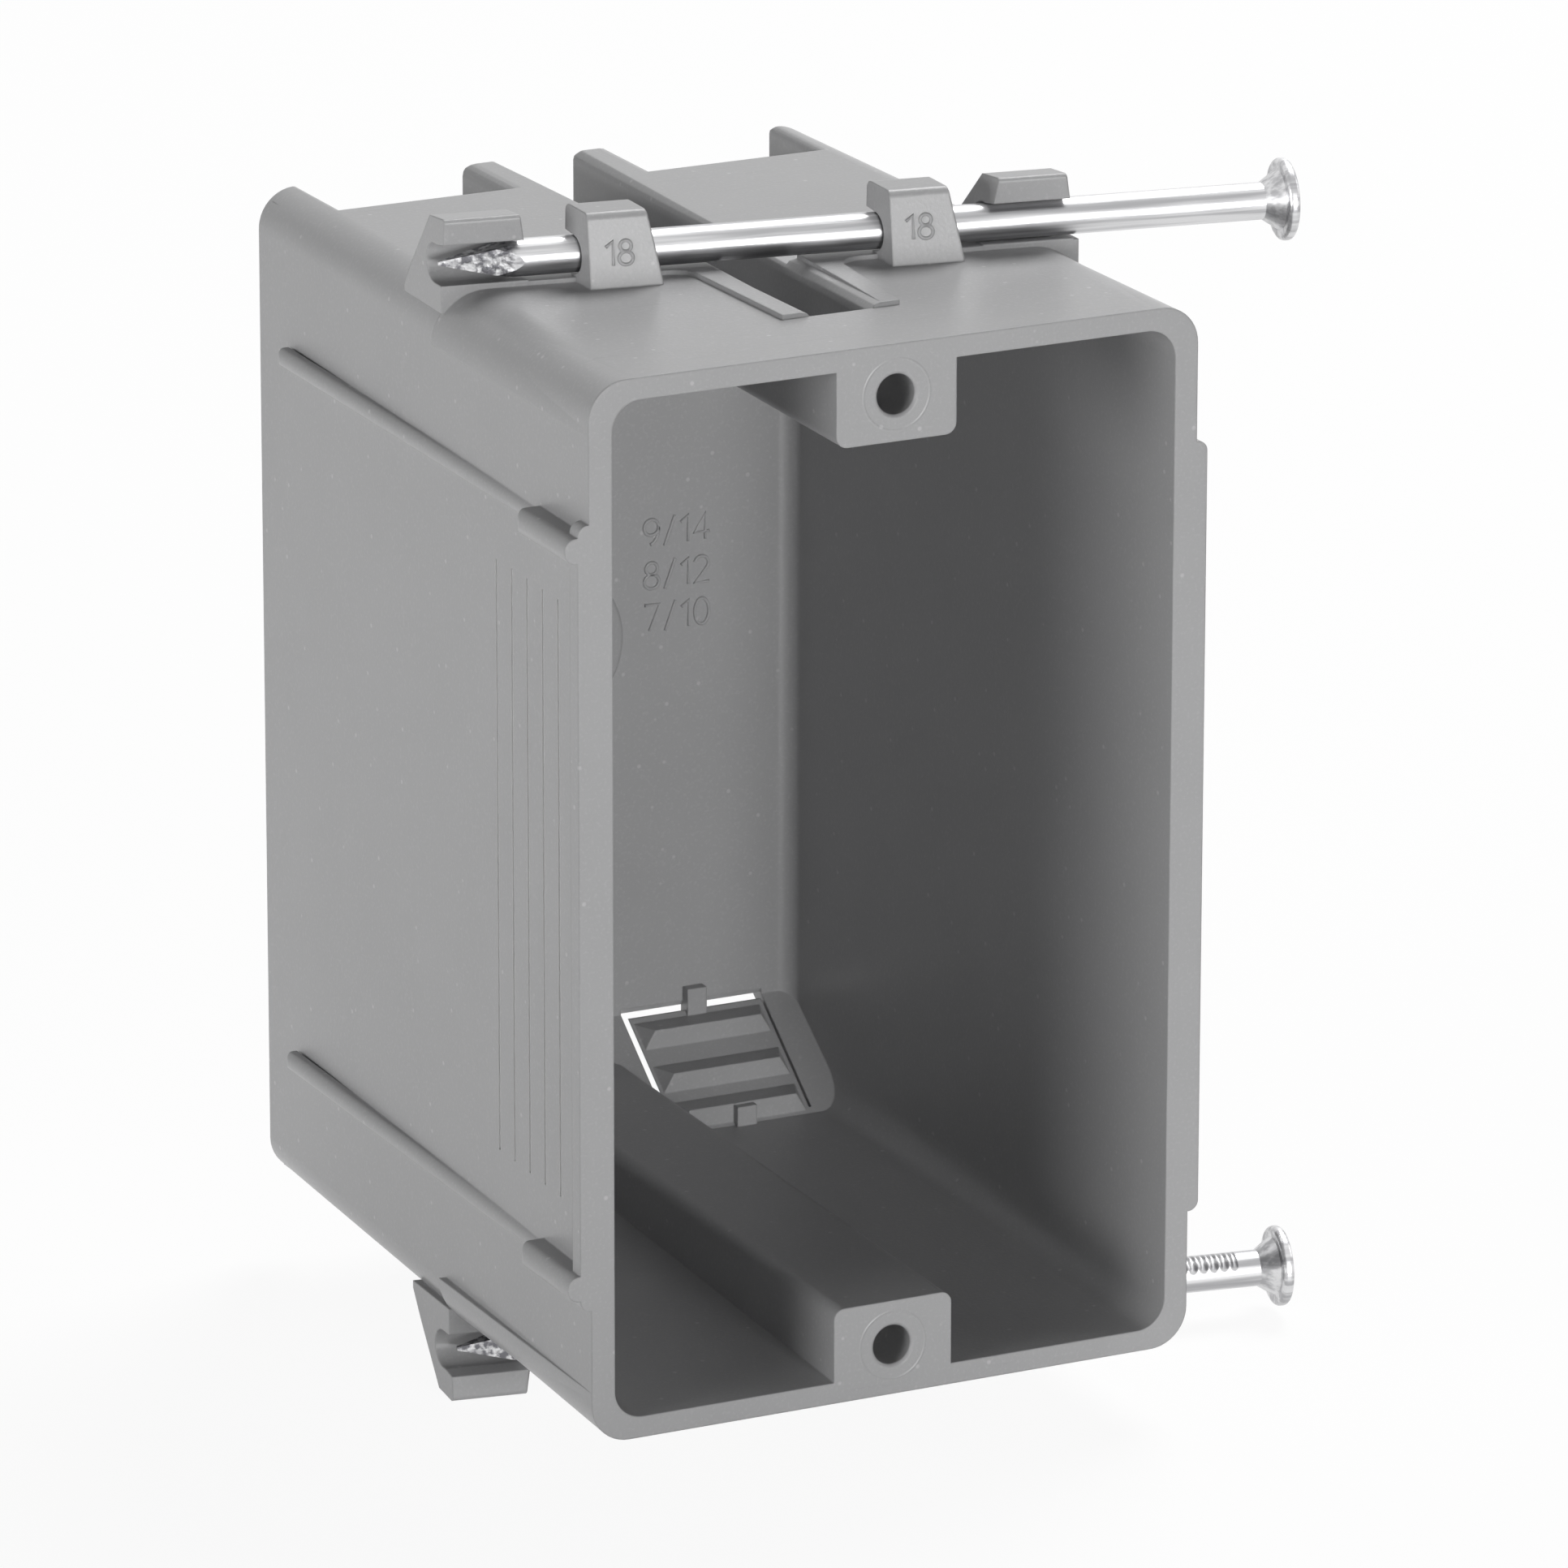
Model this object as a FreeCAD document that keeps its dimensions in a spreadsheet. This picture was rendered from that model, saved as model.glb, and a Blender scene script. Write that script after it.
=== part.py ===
import FreeCAD, Part
import os
import Sketcher

# New work outlet box: a moulded single-gang box with a pair of nails held in its hooks.
# Millimetres. X runs to the right seen from the front, Z up, and the open front faces -Y.
# The origin lies on the front rim, midway between the two device screws.

doc = FreeCAD.newDocument("WorkOutletBox")
sheet = doc.addObject("Spreadsheet::Sheet", "Sizes")

sizes = [
    # Box shell
    ("box_width", 55.9, "outside width at the front rim"),
    ("box_depth", 70.6, "front rim to the back"),
    ("side_wall", 2.1, "side wall at the rim"),
    ("cap_wall", 1.85, "top and bottom wall at the rim"),
    ("back_wall", 2.0, "back wall"),
    ("side_draft", 1.2, "draft of the outside of the sides, degrees"),
    ("cap_draft", 0.9, "draft of the outside of the top and bottom, degrees"),
    ("inner_draft", 1.6, "draft of the inside, degrees"),
    ("corner_radius", 4.5, "outside corners of the collar at the front"),
    ("rear_corner_radius", 3.4, "outside corners behind the collar"),
    ("cavity_radius", 2.6, "inside corners"),
    ("back_edge", 0.4, "bevelled edges round the back"),
    ("inner_back_radius", 1.6, "inside edges round the back wall"),
    # Straight collar round the top and bottom of the front
    ("collar_reach", 4.6, "height of the collar below the top of the box"),
    # Device screw bosses
    ("screw_spacing", 83.34, "centre to centre of the device screws"),
    ("screw_to_top", 4.38, "screw axis to the outside of the top"),
    ("screw_bore", 3.5, "bore of a screw hole"),
    ("screw_mouth", 3.95, "mouth of a screw hole"),
    ("screw_depth", 8.6, "depth of a screw hole"),
    ("boss_width", 11.0, "width of a screw boss"),
    ("boss_reach", 4.0, "screw axis to the inner face of the boss"),
    ("boss_radius", 1.0, "free edges of a boss"),
    # Channel behind each boss, open to the outside
    ("channel_front", 10.4, "rim to the front end of the channel"),
    ("channel_width", 4.9, "width at its front end"),
    ("channel_rear_width", 7.2, "width at the back of the box"),
    ("channel_floor", 2.0, "wall between the channel and the inside"),
    ("channel_lip", 1.3, "rounding of the channel's edges"),
    # Rear bays and the cable clamps in them
    ("web_wall", 3.4, "wall between the channel and a bay"),
    ("web_lip", 1.1, "rounding of a web's outer edge"),
    ("wall_lip", 0.7, "rounding of a side wall's edge beside a bay"),
    ("bay_width", 15.6, "width of a bay"),
    ("bay_depth", 9.8, "back of the box to the front end of a bay"),
    ("clamp_rise", 7.58, "height of a clamp slope at the back wall"),
    ("clamp_angle", 36.0, "slope of a clamp, degrees"),
    ("clamp_wall", 1.4, "thickness of a clamp slope"),
    ("clamp_gap", 0.5, "open gap at the top and the inner side of a flap"),
    ("clamp_bevel", 0.62, "slant of the flap's inner side, width per thickness"),
    ("clamp_slit", 0.25, "gap at the outer side of a flap"),
    ("clamp_side", 1.95, "outer side of a bay to the flap"),
    ("clamp_hinge", 0.7, "uncut length at the root of a flap"),
    ("tooth_start", 1.16, "top of the slope to the first tooth"),
    ("tooth_end", 0.4, "last tooth to the root of the slope"),
    ("tooth_height", 1.4, "height of a tooth"),
    ("tooth_width", 10.4, "width of a tooth at its crest"),
    ("tooth_hip", 1.0, "slope of a tooth's ends"),
    ("tab_width", 1.9, "width of a break-away tab"),
    ("tab_height", 1.0, "how far a tab stands proud"),
    # Nails
    ("nail_diameter", 3.2, "nail shank"),
    ("nail_length", 74.6, "overall length of a nail"),
    ("nail_head", 7.05, "head diameter"),
    ("nail_head_rim", 1.0, "thickness of the head at its rim"),
    ("nail_neck", 1.5, "length of the cone under the head"),
    ("nail_neck_diameter", 5.2, "cone under the head, at the head"),
    ("nail_point", 7.0, "length of the diamond point"),
    ("nail_rise", 2.21, "top of the box to the nail's axis"),
    ("nail_offset", 26.68, "rim to the nail's axis at the middle of the box"),
    ("nail_tilt", 9.68, "slant of a nail, its head nearer the front, degrees"),
    ("upper_point", 27.1, "middle of the box to the upper nail's point"),
    ("lower_point", 26.2, "middle of the box to the lower nail's point"),
    # Hooks, clips and the saddle under a nail
    ("grip_clearance", 0.1, "nail to its groove"),
    ("saddle_gap", 0.2, "nail to the saddle below it"),
    ("saddle_front", 1.1, "nail axis to the front of the saddle"),
    ("saddle_rear", 1.0, "nail axis to the back of the saddle"),
    ("strip_half", 5.4, "middle of the box to the outer edge of a channel strip"),
    ("strip_flare", 0.9, "how much a strip widens up to the saddle"),
    ("hook_top", 4.2, "nail axis to the top of a hook"),
    ("hook_lip", 1.85, "nail axis to the front of a hook's lip"),
    ("hook_back", 6.7, "nail axis to the foot of a hook's back"),
    ("hook_left_width", 7.5, "width of the hook at the points"),
    ("hook_right_width", 7.9, "width of the hook at the heads"),
    ("hook_inset", 0.3, "side wall to the hook at the heads"),
    ("hook_lean", 0.17, "slope of a hook's and a clip's ends, width per height"),
    ("clip_front", 3.85, "nail axis to the foot of a clip"),
    ("clip_lean", 1.0, "how far a clip's front leans back"),
    ("clip_rear", 1.3, "nail axis to the back of a clip's lip"),
    ("clip_width", 6.2, "width of a clip"),
    ("clip_left", 12.7, "middle of the box to the left clip"),
    ("clip_right", 13.2, "middle of the box to the right clip"),
    ("clip_radius", 0.7, "rounded edges of hooks and clips"),
    # Side pads, locating bumps, ribs and gauge lines
    ("pad_proud", 1.0, "how far a side pad stands out"),
    ("pad_depth", 1.6, "depth of a side pad"),
    ("pad_stop", 11.95, "top of the box to the end of a side pad"),
    ("bump_inset", 2.1, "end of the pad to a bump and its rib"),
    ("bump_radius", 1.1, "half-round bump"),
    ("bump_proud", 2.15, "how far a bump stands out"),
    ("bump_length", 9.9, "rim to the end of a bump"),
    ("rib_radius", 0.8, "half-round rib"),
    ("rib_proud", 0.1, "how far a rib stands out at the rim"),
    ("rib_stop", 7.4, "back of the box to the end of a rib"),
    ("gauge_first", 6.35, "rim to the first gauge line"),
    ("gauge_pitch", 3.175, "spacing of the gauge lines"),
    ("gauge_inset", 8.1, "end of the pad to the end of a gauge line"),
    ("gauge_width", 0.3, "width of a gauge line"),
    ("gauge_depth", 0.15, "depth of a gauge line"),
]

for row, (name, number, note) in enumerate(sizes, start=1):
    sheet.set(f"A{row}", name)
    sheet.set(f"B{row}", str(number))
    sheet.set(f"C{row}", note)
    sheet.setAlias(f"B{row}", name)
doc.recompute()

# Shapes that lie beyond a surface reach past it by this much, so that cuts come out clean.
OVER = 5
GAUGE_LINES = 5

# Expressions that several pieces share
HALF_WIDTH = "Sizes.box_width / 2"
HALF_HEIGHT = "(Sizes.screw_spacing / 2 + Sizes.screw_to_top)"
SIDE_SLOPE = "tan(Sizes.side_draft * 1 deg)"
CAP_SLOPE = "tan(Sizes.cap_draft * 1 deg)"
INNER_SLOPE = "tan(Sizes.inner_draft * 1 deg)"
CLAMP_SLOPE = "tan(Sizes.clamp_angle * 1 deg)"
NAIL_SLOPE = "tan(Sizes.nail_tilt * 1 deg)"
SCREW_HEIGHT = "Sizes.screw_spacing / 2"
CHANNEL_BOTTOM = "(Sizes.screw_spacing / 2 - Sizes.boss_reach + Sizes.channel_floor)"
INNER_BACK = "(Sizes.box_depth - Sizes.back_wall)"
BAY_START = "(Sizes.channel_rear_width / 2 + Sizes.web_wall)"
BAY_END = "(Sizes.channel_rear_width / 2 + Sizes.web_wall + Sizes.bay_width)"
FLAP_START = f"({BAY_START} + Sizes.clamp_gap)"
FLAP_END = f"({BAY_END} - Sizes.clamp_side)"
INNER_TOP_BACK = f"({HALF_HEIGHT} - Sizes.cap_wall - {INNER_BACK} * {INNER_SLOPE})"
CLAMP_HEIGHT = f"({INNER_TOP_BACK} - Sizes.clamp_rise)"
CLAMP_LENGTH = ("(Sizes.clamp_rise / (sin(Sizes.clamp_angle * 1 deg)"
                f" - {INNER_SLOPE} * cos(Sizes.clamp_angle * 1 deg)))")
NAIL_HEIGHT = f"({HALF_HEIGHT} + Sizes.nail_rise)"
GROOVE = "(Sizes.nail_diameter / 2 + Sizes.grip_clearance)"
SADDLE_TOP = f"({NAIL_HEIGHT} - Sizes.nail_diameter / 2 - Sizes.saddle_gap)"
SEAT_ROOT = f"({HALF_HEIGHT} - Sizes.cap_wall)"
PAD_HALF = f"({HALF_HEIGHT} - Sizes.pad_stop)"
BUMP_HEIGHT = f"({PAD_HALF} - Sizes.bump_inset)"


def number(expression):
    """Value of an expression that names cells of the sheet."""
    result = sheet.evalExpression(str(expression))
    return float(getattr(result, "Value", result))


def bind(item, **expressions):
    """Tie properties of a document object to expressions; __ stands for a dot."""
    for name, expression in expressions.items():
        item.setExpression(name.replace("__", "."), str(expression))


def body(name):
    return doc.addObject("PartDesign::Body", name)


def outline(owner, name, plane, corners, away="0"):
    """Closed outline with each corner tied to a pair of expressions in its plane."""
    sketch = owner.newObject("Sketcher::SketchObject", name)
    origin_plane = [item for item in owner.Origin.OriginFeatures if item.Role == plane][0]
    sketch.AttachmentSupport = [(origin_plane, "")]
    sketch.MapMode = "FlatFace"
    sketch.setExpression("AttachmentOffset.Base.z", str(away))
    points = [FreeCAD.Vector(number(x), number(y), 0) for x, y in corners]
    count = len(points)
    for i in range(count):
        sketch.addGeometry(Part.LineSegment(points[i], points[(i + 1) % count]), False)
    for i in range(count):
        sketch.addConstraint(Sketcher.Constraint("Coincident", i, 2, (i + 1) % count, 1))
    for i, (x, y) in enumerate(corners):
        across = sketch.addConstraint(Sketcher.Constraint("DistanceX", -1, 1, i, 1, points[i].x))
        sketch.setExpression(f"Constraints[{across}]", str(x))
        upward = sketch.addConstraint(Sketcher.Constraint("DistanceY", -1, 1, i, 1, points[i].y))
        sketch.setExpression(f"Constraints[{upward}]", str(y))
    return sketch


def round_outline(owner, name, plane, circles, away="0"):
    """Circles, each given as centre x, centre y and radius expressions."""
    sketch = owner.newObject("Sketcher::SketchObject", name)
    origin_plane = [item for item in owner.Origin.OriginFeatures if item.Role == plane][0]
    sketch.AttachmentSupport = [(origin_plane, "")]
    sketch.MapMode = "FlatFace"
    sketch.setExpression("AttachmentOffset.Base.z", str(away))
    normal = FreeCAD.Vector(0, 0, 1)
    for i, (x, y, radius) in enumerate(circles):
        centre = FreeCAD.Vector(number(x), number(y), 0)
        sketch.addGeometry(Part.Circle(centre, normal, number(radius)), False)
        across = sketch.addConstraint(Sketcher.Constraint("DistanceX", -1, 1, i, 3, centre.x))
        sketch.setExpression(f"Constraints[{across}]", str(x))
        upward = sketch.addConstraint(Sketcher.Constraint("DistanceY", -1, 1, i, 3, centre.y))
        sketch.setExpression(f"Constraints[{upward}]", str(y))
        size = sketch.addConstraint(Sketcher.Constraint("Radius", i, number(radius)))
        sketch.setExpression(f"Constraints[{size}]", str(radius))
    return sketch


def pad(owner, sketch, length, back=False, both=False, taper=None):
    feature = owner.newObject("PartDesign::Pad", sketch.Name + "_pad")
    feature.Profile = sketch
    feature.Reversed = back
    feature.Midplane = both
    feature.setExpression("Length", str(length))
    if taper:
        feature.setExpression("TaperAngle", taper)
    return feature


def pocket(owner, sketch, length, both=False):
    feature = owner.newObject("PartDesign::Pocket", sketch.Name + "_pocket")
    feature.Profile = sketch
    feature.Midplane = both
    feature.setExpression("Length", str(length))
    return feature


def soften(owner, base, wanted, radius):
    """Fillet on the edges of a feature that a test picks."""
    doc.recompute()
    names = [f"Edge{i}" for i, edge in enumerate(base.Shape.Edges, start=1) if wanted(edge)]
    feature = owner.newObject("PartDesign::Fillet", base.Name + "_fillet")
    feature.Base = (base, names)
    feature.setExpression("Radius", str(radius))
    return feature


def joined(kind, name, *pieces):
    """Part boolean of several shapes."""
    result = doc.addObject(kind, name)
    if kind == "Part::Cut":
        result.Base, result.Tool = pieces
    else:
        result.Shapes = list(pieces)
    return result


def mirrored(name, source, normal):
    copy = doc.addObject("Part::Mirroring", name)
    copy.Source = source
    copy.Normal = normal
    return copy


def block(name, x, y, z, length, width, height):
    item = doc.addObject("Part::Box", name)
    bind(item, Length=length, Width=width, Height=height)
    bind(item, Placement__Base__x=x, Placement__Base__y=y, Placement__Base__z=z)
    return item


def centre(edge):
    return edge.CenterOfMass


def along(edge, axis):
    """True for a straight edge that runs within a few degrees of an axis."""
    if len(edge.Vertexes) != 2:
        return False
    chord = edge.Vertexes[1].Point - edge.Vertexes[0].Point
    if chord.Length < edge.Length - 1e-4:
        return False
    return abs(chord.dot(axis)) > 0.95 * chord.Length


X_AXIS = FreeCAD.Vector(1, 0, 0)
Y_AXIS = FreeCAD.Vector(0, 1, 0)
Z_AXIS = FreeCAD.Vector(0, 0, 1)


def rectangle(half_x, low, high):
    return [(f"-({half_x})", low), (half_x, low), (half_x, high), (f"-({half_x})", high)]


def drafted_block(name, half_front, half_top, depth, side_slope, cap_slope):
    """Block that narrows towards the back, its faces flat."""
    owner = body(name)
    plan = outline(owner, f"{name}_plan", "XY_Plane", [
        (f"-({half_front})", "0"),
        (half_front, "0"),
        (f"{half_front} - {depth} * {side_slope}", depth),
        (f"-({half_front} - {depth} * {side_slope})", depth)])
    cut = pad(owner, plan, f"{half_top} * 2 + {OVER}", both=True)
    for side, sign in (("upper", ""), ("lower", "-")):
        waste = outline(owner, f"{name}_{side}_waste", "YZ_Plane", [
            (f"-{OVER}", f"{sign}({half_top} + {OVER} * {cap_slope})"),
            (f"{depth} + {OVER}", f"{sign}({half_top} - ({depth} + {OVER}) * {cap_slope})"),
            (f"{depth} + {OVER}", f"{sign}({half_top} + {OVER})"),
            (f"-{OVER}", f"{sign}({half_top} + {OVER})")])
        cut = pocket(owner, waste, f"{half_front} * 2 + {OVER}", both=True)
    return owner, cut


def outer_shell():
    """Drafted outside of the box, its long edges rounded and its back edges bevelled."""
    shell, solid = drafted_block("outer_shell", HALF_WIDTH, HALF_HEIGHT, "Sizes.box_depth",
                                 SIDE_SLOPE, CAP_SLOPE)
    corners = soften(shell, solid, lambda edge: along(edge, Y_AXIS), "Sizes.rear_corner_radius")
    depth = number("Sizes.box_depth")
    doc.recompute()
    back = [f"Edge{i}" for i, edge in enumerate(corners.Shape.Edges, start=1)
            if centre(edge).y > depth - 0.01]
    bevel = shell.newObject("PartDesign::Chamfer", "back_bevel")
    bevel.Base = (corners, back)
    bevel.setExpression("Size", "Sizes.back_edge")
    return shell


def collar():
    """Straight front part of the top and bottom, ending along the slanted nail."""
    ring = body("collar")
    rim = outline(ring, "collar_rim", "XZ_Plane", rectangle(HALF_WIDTH, f"-{HALF_HEIGHT}", HALF_HEIGHT))
    solid = pad(ring, rim, f"Sizes.nail_offset + Sizes.box_width / 2 * {NAIL_SLOPE} + {OVER}", back=True)
    soften(ring, solid, lambda edge: along(edge, Y_AXIS), "Sizes.corner_radius")
    waist = f"({HALF_HEIGHT} - Sizes.collar_reach)"
    middle = outline(ring, "collar_middle", "XZ_Plane",
                     rectangle(f"{HALF_WIDTH} + {OVER}", f"-{waist}", waist))
    pocket(ring, middle, "Sizes.box_depth * 2", both=True)
    reach = f"({HALF_WIDTH} + {OVER})"
    end = "(Sizes.nail_offset - Sizes.saddle_front / 2)"
    beyond = f"(Sizes.nail_offset + Sizes.box_width + {OVER})"
    tail = outline(ring, "collar_end", "XY_Plane", [
        (f"-{reach}", f"{end} + {reach} * {NAIL_SLOPE}"),
        (reach, f"{end} - {reach} * {NAIL_SLOPE}"),
        (reach, beyond),
        (f"-{reach}", beyond)])
    pocket(ring, tail, f"{HALF_HEIGHT} * 4", both=True)
    return ring


def cavity():
    """Drafted inside of the box, with a notch for each screw boss."""
    core, solid = drafted_block("cavity", f"({HALF_WIDTH} - Sizes.side_wall)",
                                f"({HALF_HEIGHT} - Sizes.cap_wall)", INNER_BACK, INNER_SLOPE, INNER_SLOPE)
    corners = soften(core, solid, lambda edge: along(edge, Y_AXIS), "Sizes.cavity_radius")
    inner_back = number(INNER_BACK)
    soften(core, corners, lambda edge: centre(edge).y > inner_back - 0.01, "Sizes.inner_back_radius")
    boss_face = f"({SCREW_HEIGHT} - Sizes.boss_reach)"
    notches = []
    for name, bottom, top in (("upper", boss_face, HALF_HEIGHT),
                              ("lower", f"-{HALF_HEIGHT}", f"-{boss_face}")):
        notch = outline(core, f"{name}_boss", "XZ_Plane", rectangle("Sizes.boss_width / 2", bottom, top))
        notches.append(pocket(core, notch, f"Sizes.box_depth + {OVER}"))
    face = number(boss_face)
    half_boss = number("Sizes.boss_width / 2")

    def free_edge(edge):
        middle = centre(edge)
        at_corner = abs(abs(middle.z) - face) < 0.01 and abs(abs(middle.x) - half_boss) < 0.01
        return at_corner and along(edge, Y_AXIS)

    soften(core, notches[-1], free_edge, "Sizes.boss_radius")
    return core


def screw_holes():
    """Blind holes for the device screws, with a chamfered mouth."""
    holes = body("screw_holes")
    circles = [("0", SCREW_HEIGHT, "Sizes.screw_bore / 2"),
               ("0", f"-({SCREW_HEIGHT})", "Sizes.screw_bore / 2")]
    bores = round_outline(holes, "screw_bores", "XZ_Plane", circles, away="1")
    solid = pad(holes, bores, "Sizes.screw_depth + 1", back=True)
    cones = []
    for name, side in (("upper", ""), ("lower", "-")):
        cone = doc.addObject("Part::Cone", f"{name}_screw_mouth")
        bind(cone, Radius1="Sizes.screw_mouth / 2 + 0.5", Radius2="Sizes.screw_bore / 2",
             Height="(Sizes.screw_mouth - Sizes.screw_bore) / 2 + 0.5")
        bind(cone, Placement__Base__z=f"{side}({SCREW_HEIGHT})", Placement__Base__y="-0.5")
        bind(cone, Placement__Rotation__Angle="-90")
        cone.Placement.Rotation = FreeCAD.Rotation(X_AXIS, -90)
        cones.append(cone)
    return joined("Part::MultiFuse", "screw_cutters", holes, *cones)


def channel():
    """Cutter for the channel above the upper boss, with rounded long edges."""
    front_half = "(Sizes.channel_width / 2)"
    rear_half = "(Sizes.channel_rear_width / 2)"
    beyond = f"(Sizes.box_depth + {OVER})"
    slot = body("channel")
    plan = outline(slot, "channel_plan", "XY_Plane", [
        (f"-{front_half}", "Sizes.channel_front"),
        (front_half, "Sizes.channel_front"),
        (rear_half, "Sizes.box_depth"),
        (rear_half, beyond),
        (f"-{rear_half}", beyond),
        (f"-{rear_half}", "Sizes.box_depth")], away=CHANNEL_BOTTOM)
    pad(slot, plan, f"{HALF_HEIGHT} - {CHANNEL_BOTTOM} + {OVER}")
    return slot


def channel_edges():
    """Cutter that rounds the long top edges of the channel."""
    rear_top = f"({HALF_HEIGHT} - Sizes.box_depth * {CAP_SLOPE})"
    lip = "Sizes.channel_lip"
    ends = []
    for name, distance, half, top in (
            ("front", "Sizes.channel_front", "Sizes.channel_width / 2", SADDLE_TOP),
            ("rear", f"Sizes.box_depth + {OVER}", "Sizes.channel_rear_width / 2", rear_top)):
        owner = body(f"channel_{name}_edge")
        sketch = outline(owner, f"channel_{name}_lip", "XZ_Plane", [
            (f"-({half})", f"{top} - {lip}"),
            (half, f"{top} - {lip}"),
            (f"{half} + {lip} * 0.13", f"{top} - {lip} * 0.5"),
            (f"{half} + {lip} * 0.5", f"{top} - {lip} * 0.13"),
            (f"{half} + {lip}", top),
            (f"{half} + {lip}", f"{top} + {OVER}"),
            (f"-({half} + {lip})", f"{top} + {OVER}"),
            (f"-({half} + {lip})", top),
            (f"-({half} + {lip} * 0.5)", f"{top} - {lip} * 0.13"),
            (f"-({half} + {lip} * 0.13)", f"{top} - {lip} * 0.5")], away=f"-({distance})")
        ends.append(sketch)
    loft = doc.addObject("Part::Loft", "channel_rounding")
    loft.Sections = ends
    loft.Solid = True
    loft.Ruled = True
    return loft


def bay(owner_name):
    """Cutter for one rear bay, over the slope of a cable clamp."""
    space = body(owner_name)
    bay_front = "(Sizes.box_depth - Sizes.bay_depth)"
    outer = (f"({INNER_BACK} * {CLAMP_SLOPE} + {CLAMP_HEIGHT}"
             " + Sizes.clamp_wall / cos(Sizes.clamp_angle * 1 deg))")
    beyond = f"(Sizes.box_depth + {OVER})"
    top = f"({HALF_HEIGHT} + {OVER})"
    side = outline(space, owner_name + "_side", "YZ_Plane", [
        (bay_front, f"{outer} - {bay_front} * {CLAMP_SLOPE}"),
        (beyond, f"{outer} - {beyond} * {CLAMP_SLOPE}"),
        (beyond, top),
        (bay_front, top)], away=BAY_START)
    pad(space, side, "Sizes.bay_width")
    return joined("Part::MultiFuse", owner_name + "_cutter", space,
                  bay_lip("web_lip_cutter", BAY_START, "-", "Sizes.web_lip"),
                  bay_lip("wall_lip_cutter", BAY_END, "+", "Sizes.wall_lip"))


def bay_lip(name, edge, outward, lip):
    """Cutter that rounds a bay's long top edge, following the draft of the cap."""
    owner = body(name)
    inward = "+" if outward == "-" else "-"
    section = outline(owner, f"{name}_section", "XZ_Plane", [
        (edge, f"-{lip}"),
        (f"{edge} {outward} {lip} * 0.08", f"-{lip} * 0.6"),
        (f"{edge} {outward} {lip} * 0.3", f"-{lip} * 0.3"),
        (f"{edge} {outward} {lip} * 0.6", f"-{lip} * 0.08"),
        (f"{edge} {outward} {lip}", "0"),
        (f"{edge} {outward} {lip}", "1"),
        (f"{edge} {inward} 0.5", "1"),
        (f"{edge} {inward} 0.5", f"-{lip}")])
    pad(owner, section, f"Sizes.bay_depth + {OVER}", back=True)
    owner.Placement.Rotation = FreeCAD.Rotation(X_AXIS, -number("Sizes.cap_draft"))
    bind(owner, Placement__Rotation__Angle="-Sizes.cap_draft")
    start = "(Sizes.box_depth - Sizes.bay_depth)"
    bind(owner, Placement__Base__y=start, Placement__Base__z=f"{HALF_HEIGHT} - {start} * {CAP_SLOPE}")
    return owner


def clamp_slope():
    """Wedge that fills the inside corner between a boss and the side wall."""
    wedge = body("clamp_slope")
    deep = f"({INNER_BACK} + 1)"
    inner = f"({INNER_BACK} * {CLAMP_SLOPE} + {CLAMP_HEIGHT})"
    root = f"({HALF_HEIGHT} - {INNER_BACK} * {CAP_SLOPE} - Sizes.cap_wall / 2)"
    side = outline(wedge, "clamp_side", "YZ_Plane", [
        (f"({inner} - {root}) / {CLAMP_SLOPE}", root),
        (deep, f"{inner} - {deep} * {CLAMP_SLOPE}"),
        (deep, root)], away="Sizes.boss_width / 2 - Sizes.boss_radius")
    pad(wedge, side, f"{HALF_WIDTH} - Sizes.side_wall / 2 - {INNER_BACK} * {SIDE_SLOPE}"
                     " - Sizes.boss_width / 2 + Sizes.boss_radius")
    return wedge


def clamp_frame(item):
    """Put a shape's own frame at the top inside corner of a clamp slope, Y down the slope."""
    item.Placement.Rotation = FreeCAD.Rotation(X_AXIS, 180 - number("Sizes.clamp_angle"))
    bind(item, Placement__Rotation__Angle="180 - Sizes.clamp_angle")
    bind(item, Placement__Base__y=INNER_BACK, Placement__Base__z=CLAMP_HEIGHT)


def flap_gap():
    """Narrow cuts round three sides of a cable flap, open to the bay behind it."""
    end = f"({CLAMP_LENGTH} - Sizes.clamp_hinge)"
    deep = "(Sizes.clamp_wall + 0.4)"
    gap = body("flap_gap")
    cut = outline(gap, "flap_gap_plan", "XY_Plane", [
        (BAY_START, "-0.3"),
        (f"{FLAP_END} + Sizes.clamp_slit", "-0.3"),
        (f"{FLAP_END} + Sizes.clamp_slit", end),
        (FLAP_END, end),
        (FLAP_END, "Sizes.clamp_gap"),
        (BAY_START, "Sizes.clamp_gap")], away="0.5")
    pad(gap, cut, f"{deep} + 0.5", back=True)
    clamp_frame(gap)

    side = body("flap_side_gap")
    bevel = outline(side, "flap_side_bevel", "XZ_Plane", [
        (BAY_START, "0.5"),
        (FLAP_START, "0.5"),
        (FLAP_START, "0"),
        (f"{FLAP_START} + {deep} * Sizes.clamp_bevel", f"-{deep}"),
        (BAY_START, f"-{deep}")])
    pad(side, bevel, end, back=True)
    clamp_frame(side)

    window = body("flap_window")
    beyond = f"(Sizes.box_depth + {OVER})"
    steep = "tan((90 - Sizes.clamp_angle) * 1 deg)"
    lip = "(Sizes.clamp_gap / 2 / cos(Sizes.clamp_angle * 1 deg))"
    opening = outline(window, "flap_window_side", "YZ_Plane", [
        (f"{INNER_BACK} - {lip}", CLAMP_HEIGHT),
        (beyond, CLAMP_HEIGHT),
        (beyond, f"{CLAMP_HEIGHT} + ({beyond} - {INNER_BACK} + {lip}) * {steep}")], away=BAY_START)
    pad(window, opening, f"{FLAP_END} + Sizes.clamp_slit - {BAY_START}")
    return joined("Part::MultiFuse", "flap_cuts", gap, side, window)


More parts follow.
